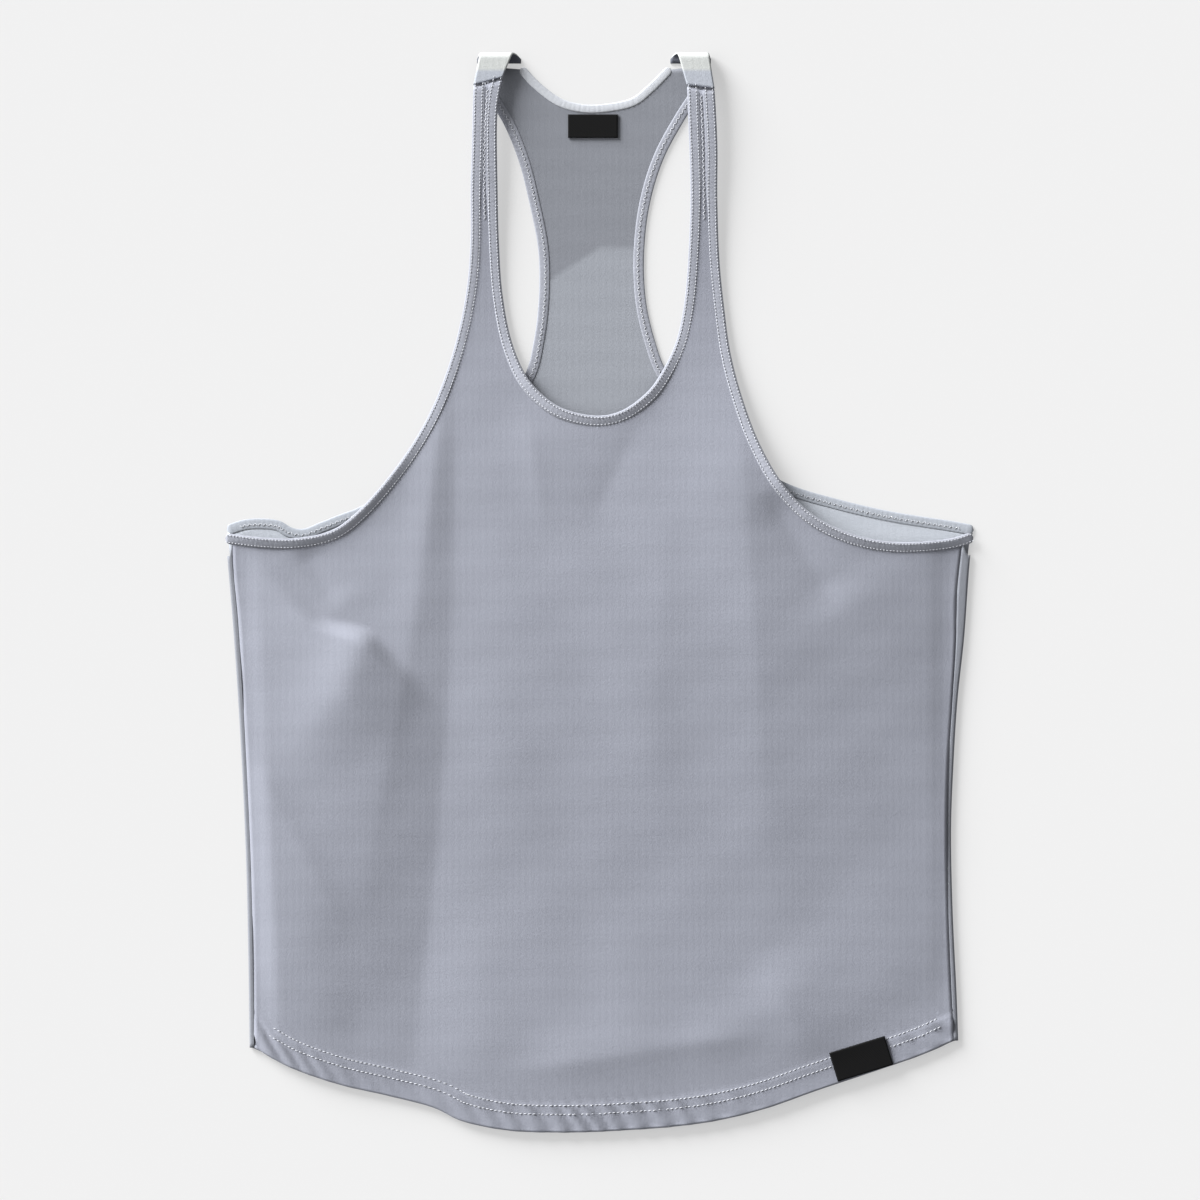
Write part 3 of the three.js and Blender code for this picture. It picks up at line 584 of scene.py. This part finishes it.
# Where the light reaches the back, painted light makes it paler, in metres: outside the armholes' ends, and
# below a line across its middle that is bent down on the left
LIT_ENDS = {"reach": (0.105, 0.15), "height": (0.026, 0.036)}
LIT_MIDDLE = {"height": (0.239, 0.246), "bend": 0.65, "reach": (0.08, 0.1), "share": 0.28}
BACK_ROWS = np.array([(0, 0), (0.96, 0.43), (1, 0.453), (1.1, 0.512), (1.213, 0.561), (1.367, 0.62),
                      (1.52, 0.718), (1.616, 0.804), (1.708, 0.865), (1.82, 0.929), (1.903, 1), (2, 2)])


def back_surface(x, y):
    """The back's middle height: level on the surface it lies on."""
    return np.full_like(x, BACK_LEVEL)


def back_painted_light(finish, place):
    """Painted light: the back is paler at the armholes' ends and below its middle, steps in |x| and one in y,
    bent left.
    """
    x, y, _ = (finish.node("ShaderNodeSeparateXYZ", None, {"Vector": place}, output=k) for k in range(3))
    reach = x.maths("ABSOLUTE", x)
    out = finish.step(reach, *LIT_ENDS["reach"]) * finish.step(y, *LIT_ENDS["height"])
    bend = x.maths("MINIMUM", x, 0.0) * LIT_MIDDLE["bend"]
    below = 1 - finish.step(y - bend, *LIT_MIDDLE["height"])
    low = below * (1 - finish.step(reach, *LIT_MIDDLE["reach"])) * LIT_MIDDLE["share"]
    return out.maths("MAXIMUM", out, low)


# Painted shade: the back's cloth is darker than the front's jersey. Its zone is painted light.
back_cloth_painted_shade_and_light = jersey("jersey_inside", colour(146, 149, 157), colour(120, 123, 131),
                    zone=((colour(178, 184, 194), colour(206, 211, 219)), back_painted_light))
back_neck = neck_cut("back_neck", BACK_NECK_BINDING["width"] - TUCK)
turn_radius = (FRONT_LEVEL - BACK_LEVEL) / 2
turn_reach = turn_radius + WALL / 2
turn_level = (FRONT_LEVEL + BACK_LEVEL) / 2
back_stations = np.concatenate([np.linspace(0, 1, 110, endpoint=False), np.linspace(1, 2, 150)])
back_sheets = []
for hand, sign in SIGN.items():
    armhole = beside(smooth_curve(EDGES[hand]["back_armhole"]), -sign * armhole_inset)
    fold = [(x + sign * turn_reach, y) for x, y in SIDES[hand]["fold"]]
    hem = [(x, y + BACK_HEM_LIFT) for x, y in EDGES[hand]["hem"]]
    hem[0] = fold[0]
    side = smooth_curve([*fold, tuple(armhole[0])])
    sheet = half_panel(side, armhole, back_neck[hand], smooth_curve(hem), HEM_BOTTOM + BACK_HEM_LIFT,
                       BACK_ROWS, back_stations, 40, back_surface)
    back_sheets.append(sheet if sign > 0 else sheet[:, ::-1])
    turned = sheet[back_stations <= BACK_ROWS[1][0], 0]
    seam = smooth_curve([*SIDES[hand]["seam"], tuple(front_cuts[hand][0])])
    end = point_at(seam, np.linspace(0, 1, len(turned)))
    angle = np.linspace(-math.pi / 2, math.pi / 2, TURN_STEPS)
    turn = np.empty((len(turned), TURN_STEPS + TOP_STEPS, 3))
    turn[:, :TURN_STEPS, 0] = turned[:, :1] - sign * turn_radius * np.cos(angle)
    turn[:, :TURN_STEPS, 2] = turn_level + turn_radius * np.sin(angle)
    turn[:, :, 1] = turned[:, 1:2]
    top = turn[:, TURN_STEPS - 1].copy()
    for k in range(1, TOP_STEPS + 1):
        turn[:, TURN_STEPS - 1 + k, :2] = top[:, :2] + (end - top[:, :2]) * k / TOP_STEPS
        turn[:, TURN_STEPS - 1 + k, 2] = FRONT_LEVEL
    turn[:, 0] = turned
    back_sheets.append(turn[:, ::-1] if sign > 0 else turn)
back = cloth_piece("back", back_sheets, WALL, back_cloth_painted_shade_and_light)
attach(back, "root")
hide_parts("back_panel")

# The shoulders. The back's strap ends are turned forward over the top and sewn down to the front straps, so
# the outside of the back shows there, pale in the full light: painted light, with painted shade inside.
SHOULDERS = {
    "left": {
        "back": ((-86.5, 371.8), (-55.5, 371.8)),
        "turn": ((-84, 379.4), (-61, 379.4)),
        "seam": ((-89, 356.3), (-68.5, 361.8)),
    },
    "right": {
        "back": ((78, 371.8), (49.5, 371.8)),
        "turn": ((76, 379.4), (54, 379.4)),
        "seam": ((80.5, 353.8), (61, 356.3)),
    },
}
SHOULDER_STEPS = 24
PAINTED_HIGHLIGHT_TOP = (0.3655, 0.3685)


def shoulder_painted_highlight(finish, place):
    """Painted highlight: the turned end is palest along the top, above a soft line across it."""
    y = finish.node("ShaderNodeSeparateXYZ", None, {"Vector": place}, output=1)
    return finish.step(y, *PAINTED_HIGHLIGHT_TOP)


# Painted shade: the inside of the turned ends is dark.
shoulder_inside_painted_shade = jersey("shoulder_inside_painted_shade", colour(112, 115, 126), colour(88, 91, 102))
# Painted light: the turned ends' cloth is paler than the jersey, palest along the top.
shoulder_cloth_painted_light = jersey("shoulder_jersey", colour(188, 193, 202), colour(168, 173, 183), mottle=0.03,
                        zone=((colour(190, 193, 192), colour(208, 211, 209)), shoulder_painted_highlight))
shoulders = {}
for hand, line in SHOULDERS.items():
    ends = {key: np.array(value) for key, value in line.items()}
    level = float(front_height(*ends["seam"][0]))
    radius = (level - BACK_LEVEL) / 2
    turn_y = ends["turn"][0, 1] - WALL / 2 - radius
    share = np.linspace(0, 1, SHOULDER_STEPS)[:, None]
    angle = math.pi * (share - 0.5)
    rising = ends["back"][:, 0] + (ends["turn"][:, 0] - ends["back"][:, 0]) * share * 2
    falling = ends["turn"][:, 0] + (ends["seam"][:, 0] - ends["turn"][:, 0]) * (share - 0.5) / 2
    turn = np.dstack([np.where(share < 0.5, rising, falling),
                      np.repeat(turn_y + radius * np.cos(angle), 2, 1),
                      np.repeat(BACK_LEVEL + radius * (1 + np.sin(angle)), 2, 1)])
    first = np.dstack([ends["back"][None, :, 0], ends["back"][None, :, 1], np.full((1, 2), BACK_LEVEL)])
    run = np.linspace(0, 1, 12)[1:, None, None]
    last = np.dstack([ends["seam"][None, :, 0], ends["seam"][None, :, 1], np.full((1, 2), level)])
    lines = np.vstack([first, turn, turn[-1:] + (last - turn[-1:]) * run])
    across = np.linspace(0, 1, 16)[None, :, None]
    sheet = lines[:, :1] + (lines[:, 1:] - lines[:, :1]) * across[:, ::-SIGN[hand]]
    shoulders[hand] = cloth_piece(f"shoulder_end_{hand}", [sheet], WALL, shoulder_cloth_painted_light, shoulder_inside_painted_shade)
    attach(shoulders[hand], "root")
    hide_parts(f"shoulder_{hand}")

# The bindings. Strips of the same jersey, folded over every cut edge and sewn down. Each is one flattened
# tube carried along its edge, rounded at the fold, with the small puckers that the stitching draws.
SECTION = 16
END_ROUND = 3.5
PAINTED_LIGHT_REACH = (0.075, 0.13)


def strap_width(edge, width, together=8.9):
    """A binding's width along its edge: as sewn on the body, wider up the strap until the bindings meet."""
    narrow = width - 0.9 * smoothstep(edge[:, 1], 120, 220)
    return narrow + (together - narrow) * smoothstep(edge[:, 1], 255, 300)


def folded_strip(name, edge, width, thick, height, finish, pucker=0.12, pitch=3.4, roll=0.0, steps_a_mm=0.8):
    """A flat rounded section along an edge: width (1 - cos^p) / 2 across and thickness sin^p / 2 up. It is
    puckered, its free edge rolls up above the rest, and it is drawn in to a round end at both ends."""
    total = np.linalg.norm(np.diff(edge, axis=0), axis=1).sum()
    steps = int(total * steps_a_mm)
    share = np.linspace(0, 1, steps)
    angle = np.linspace(0, 2 * math.pi, SECTION, endpoint=False)
    across = (1 - np.sign(np.cos(angle)) * np.abs(np.cos(angle)) ** 0.5) / 2
    up = np.sign(np.sin(angle)) * np.abs(np.sin(angle)) ** 0.6 / 2
    wave = 1 + pucker * np.sin(share * total / pitch * 2 * math.pi + 1.3 * np.sin(share * total / 17))
    from_end = np.minimum(1, np.minimum(share, 1 - share) * total / END_ROUND)
    full = np.maximum(0.12, np.sqrt(1 - (1 - from_end) ** 2))[:, None]
    outer = point_at(edge, share)[:, None]
    inner = point_at(beside(edge, width), share)[:, None]
    points = np.empty((steps, SECTION, 3))
    points[..., :2] = outer + (inner - outer) * (0.5 + (across[None] - 0.5) * full)[..., None]
    rolled = np.interp(share, np.linspace(0, 1, len(edge)), np.broadcast_to(roll, len(edge)))
    lip = 0.32 * np.exp(-across[None] * np.mean(width) / 0.9)
    middle = height(points[..., 0], points[..., 1]) + rolled[:, None] * ((1 - across[None]) - lip)
    points[..., 2] = middle + up[None] * thick * full * np.where(up[None] > 0, wave[:, None], 1)
    last = (steps - 1) * SECTION
    caps = [list(range(SECTION))[::-1], list(range(last, last + SECTION))]
    faces = grid_faces(steps, SECTION, closed=True).tolist() + caps
    return add_mesh(name, points.reshape(-1, 3), faces, finish)


binding_cloth = jersey("binding", colour(176, 179, 189), colour(148, 151, 162), grain=0.1)
# Painted light: the back neck's binding is a paler, lit copy of the binding.
neck_binding_painted_light = jersey("binding_lit", colour(214, 217, 222), colour(184, 188, 196), grain=0.16)


def inside_binding_painted_light(finish, place):
    """Painted light: the inside of the armholes' bindings is paler away from the racerback, past a soft step
    in |x|.
    """
    x = finish.node("ShaderNodeSeparateXYZ", None, {"Vector": place}, output=0)
    return finish.step(x.maths("ABSOLUTE", x), *PAINTED_LIGHT_REACH)


# Painted light: the back's armhole bindings turn paler in their zone.
inside_binding = jersey("binding_inside_painted_light", colour(172, 175, 185), colour(146, 149, 159),
                        zone=((colour(160, 166, 176), colour(186, 191, 199)), inside_binding_painted_light))


def lying(thick):
    """The middle height of a strip that lies on the surface."""
    return lambda x, y: np.full_like(x, thick / 2)


SEAM_TUCK = {"depth": 1.9, "reach": (-3.2, -0.6)}
NECK_ENDS = {"left": (-68, 361.5), "right": (60.8, 357)}
ARMHOLE_ENDS = {"left": (-88.7, 359), "right": (80.2, 356)}


def under_shoulder(x, y):
    """The front's height, lowered by a tuck where the straps go under the shoulders' seams."""
    seam = np.interp(x, *zip(*sorted(point for line in SHOULDERS.values() for point in line["seam"])))
    return front_height(x, y) - SEAM_TUCK["depth"] * smoothstep(y - seam, *SEAM_TUCK["reach"])


ARMHOLE_ROLL = {"rise": 3.2, "from": 66, "to": 140}
NECK_ROLL = {"rise": 2.4, "from": 138, "to": 190}


def rolled_edge(roll, x, y):
    """How far a binding's free edge rolls up: most at the bottom of the opening, less at the side fold."""
    side = smoothstep(265 - np.abs(x), 0, 18)
    return roll["rise"] * (1 - smoothstep(y, roll["from"], roll["to"])) * (0.35 + 0.65 * side)


bindings = {}
neck_path = smooth_curve([NECK_ENDS["right"], *EDGES["right"]["front_neck"][:0:-1],
                          *EDGES["left"]["front_neck"], NECK_ENDS["left"]])
bindings["front_neck_binding"] = folded_strip(
    "neck_edge_front", neck_path, strap_width(neck_path, FRONT_NECK_BINDING["width"]),
    FRONT_NECK_BINDING["thick"], under_shoulder, binding_cloth, roll=rolled_edge(NECK_ROLL, *neck_path.T))
bindings["back_neck_binding"] = folded_strip(
    "neck_edge_back", neck_edge("back_neck"), BACK_NECK_BINDING["width"], BACK_NECK_BINDING["thick"],
    lying(BACK_NECK_BINDING["thick"]), neck_binding_painted_light, pucker=0.2, pitch=3.2)
armhole_paths = {}
for hand, sign in SIGN.items():
    path = smooth_curve([*EDGES[hand]["front_armhole"], ARMHOLE_ENDS[hand]][::-sign])
    armhole_paths[hand] = path
    bindings[f"front_armhole_binding_{hand}"] = folded_strip(
        f"armhole_edge_front_{hand}", path, strap_width(path, ARMHOLE_BINDING["width"]),
        ARMHOLE_BINDING["front"], under_shoulder, binding_cloth, roll=rolled_edge(ARMHOLE_ROLL, *path.T))
    path = smooth_curve(EDGES[hand]["back_armhole"][::-sign])
    bindings[f"back_armhole_binding_{hand}"] = folded_strip(
        f"armhole_edge_back_{hand}", path, ARMHOLE_BINDING["width"], ARMHOLE_BINDING["back"],
        lying(ARMHOLE_BINDING["back"]), inside_binding)
for node, strip in bindings.items():
    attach(strip, "root")
    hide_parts(node)

# The sewing. Rows of twisted cotton thread hold down the bindings and the hem: single stitches seen from
# outside, and on the back, seen from inside, the loops of a coverstitch.
HEM_THREAD = {"pitch": 3.1, "length": 2.4, "thick": 0.48}
EDGE_THREAD = {"pitch": 2.3, "length": 1.45, "thick": 0.5}
LOOP_THREAD = {"pitch": 2.0, "length": 2.6, "thick": 0.4}
HEM_ROWS = {"upper": 19.0, "lower": 12.8}
EDGE_ROWS = (1.5, 6.4)
COVERSTITCH_IN = 4.3
SEAM_ROLL = 0.9
thread_finish = Finish("thread")
thread_place = thread_finish.node("ShaderNodeTexCoord", None, None, output=3)
thread_tone = thread_finish.noise(thread_place, 900, 2)
thread_white = thread_finish.done(thread_finish.node("ShaderNodeBsdfPrincipled", None, {
    "Base Color": thread_finish.mix(colour(206, 209, 216), colour(230, 232, 238), thread_tone),
    "Roughness": 0.8,
}))


# Painted shadow: the dark roll along each shoulder seam.
seam_shadow = jersey("seam_fold_painted_shadow", colour(120, 124, 135), colour(98, 101, 112))


def stitches(name, path, height, pitch, length, thick, turn=0.0, swing=0.0):
    """Spindles of thread along a path, one each pitch: a square section, thin at both ends, turned by an
    angle that may swing from one stitch to the next."""
    total = np.linalg.norm(np.diff(path, axis=0), axis=1).sum()
    count = int(total / pitch)
    share = (np.arange(count) + 0.5) / count
    middle = point_at(path, share)
    step = 0.5 / total
    ahead = point_at(path, np.minimum(share + step, 1)) - point_at(path, np.maximum(share - step, 0))
    ahead = np.arctan2(ahead[:, 1], ahead[:, 0]) + turn + swing * np.where(np.arange(count) % 2, 1, -1)
    along = np.column_stack([np.cos(ahead), np.sin(ahead)])
    aside = np.column_stack([-along[:, 1], along[:, 0]])
    ends = np.repeat([-0.5, -0.25, 0.25, 0.5], 4) * length
    size = np.repeat([0.25, 1, 1, 0.25], 4) * thick / 2
    wide = np.tile([-1, 1, 1, -1], 4) * size
    high = np.tile([-0.6, -0.6, 1, 1], 4) * size
    points = np.empty((count, 16, 3))
    points[..., :2] = middle[:, None] + along[:, None] * ends[:, None] + aside[:, None] * wide[:, None]
    points[..., 2] = height(middle[:, 0], middle[:, 1])[:, None] + high[None]
    one = grid_faces(4, 4, closed=True)
    faces = (one[None] + 16 * np.arange(count)[:, None, None]).reshape(-1, 4)
    caps = np.array([[3, 2, 1, 0], [12, 13, 14, 15]])
    caps = (caps[None] + 16 * np.arange(count)[:, None, None]).reshape(-1, 4)
    return add_mesh(name, points.reshape(-1, 3), np.vstack([faces, caps]), thread_white)


def binding_top(x, y, distance, roll):
    """The top of a front binding at a distance in from its edge, with the roll of that edge."""
    return front_height(x, y) + 1.12 + rolled_edge(roll, x, y) * (1 - distance / ARMHOLE_BINDING["width"])


sewing = []
above_cloth = WALL / 2 + 0.12
for name, distance in HEM_ROWS.items():
    row = beside(evenly(HEM_LINE), distance)
    sewing.append(stitches(f"hem_stitches_{name}", row[12:-12],
                           lambda x, y: front_surface(x, y) + above_cloth, **HEM_THREAD, turn=0.16))
for distance in EDGE_ROWS:
    for hand, path in armhole_paths.items():
        row = beside(path, distance)
        sewing.append(stitches(f"armhole_stitches_{hand}_{int(distance)}", row,
                               lambda x, y: binding_top(x, y, distance, ARMHOLE_ROLL), **EDGE_THREAD))
    row = beside(neck_path, distance)
    sewing.append(stitches(f"neck_stitches_{int(distance)}", row,
                           lambda x, y: binding_top(x, y, distance, NECK_ROLL), **EDGE_THREAD))
STRAP_MIDDLES = {
    "left": [(-79.3, 353), (-81, 318), (-81.4, 283), (-81, 262)],
    "right": [(70.9, 349), (72.2, 318), (73, 283), (73.2, 262)],
}
for hand, sign in SIGN.items():
    row = beside(smooth_curve(EDGES[hand]["back_armhole"][::-sign]), COVERSTITCH_IN)
    sewing.append(stitches(f"back_coverstitch_{hand}", row[30:-30],
                           lambda x, y: np.full_like(x, ARMHOLE_BINDING["back"] + 0.12),
                           **LOOP_THREAD, swing=0.8))
    sewing.append(stitches(f"strap_zigzag_{hand}", smooth_curve(STRAP_MIDDLES[hand]),
                           lambda x, y: front_height(x, y) + 0.95, **LOOP_THREAD, swing=0.7))
    # Each shoulder seam gets a dark roll of painted shadow.
    seam = SHOULDERS[hand]["seam"]
    seam_path = evenly(np.array(seam[::sign], float))
    sewing.append(folded_strip(f"shoulder_seam_{hand}", seam_path, SEAM_ROLL, SEAM_ROLL,
                               lambda x, y: front_height(x, y) + 0.7, seam_shadow, pucker=0.2, pitch=2))
for row in sewing:
    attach(row, "root")

# The labels. A black woven patch is sewn under the back neck, and a band of the same weave lies over the hem.
# Both are bare.
LABEL_WALL = 1.0
HEM_LABEL = {"corner": (161, -324), "across": (39, 12), "down": (6.2, -20.2)}
weave = Finish("label")
label_place = weave.node("ShaderNodeTexCoord", None, None, output=3)
threads = weave.node("ShaderNodeTexWave", {"bands_direction": "DIAGONAL"},
                     {"Vector": label_place, "Scale": 350})
label_black = weave.done(weave.node("ShaderNodeBsdfPrincipled", None, {
    "Base Color": weave.mix(colour(5, 5, 6), colour(12, 12, 13), threads),
    "Roughness": 0.7,
    "Specular IOR Level": 0.2,
    "Normal": weave.node("ShaderNodeBump", None, {"Strength": 0.3, "Distance": 0.0003, "Height": threads}),
}))


def label_sheet(corner, across, down, height, rows=20, columns=36):
    """A patch with straight sides: corner + across u + down v, on the height of the cloth under it."""
    u = np.linspace(0, 1, columns)[None, :, None]
    v = np.linspace(1, 0, rows)[:, None, None]
    flat = np.array(corner) + np.array(across) * u + np.array(down) * v
    return np.dstack([flat, height(flat[..., 0], flat[..., 1])])


label_level = WALL + 0.3 + LABEL_WALL / 2
neck_label = cloth_piece("label_neck", [label_sheet(
    (NECK_LABEL["left"], NECK_LABEL["top"]), (NECK_LABEL["right"] - NECK_LABEL["left"], 0),
    (0, NECK_LABEL["bottom"] - NECK_LABEL["top"]), lambda x, y: np.full_like(x, label_level))],
    LABEL_WALL, label_black)
hem_label = cloth_piece("label_hem", [label_sheet(
    HEM_LABEL["corner"], HEM_LABEL["across"], HEM_LABEL["down"], lambda x, y: front_height(x, y) + 1.9)],
    LABEL_WALL, label_black)
for node, patch in (("neck_label", neck_label), ("hem_label", hem_label)):
    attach(patch, "root")
    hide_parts(node)
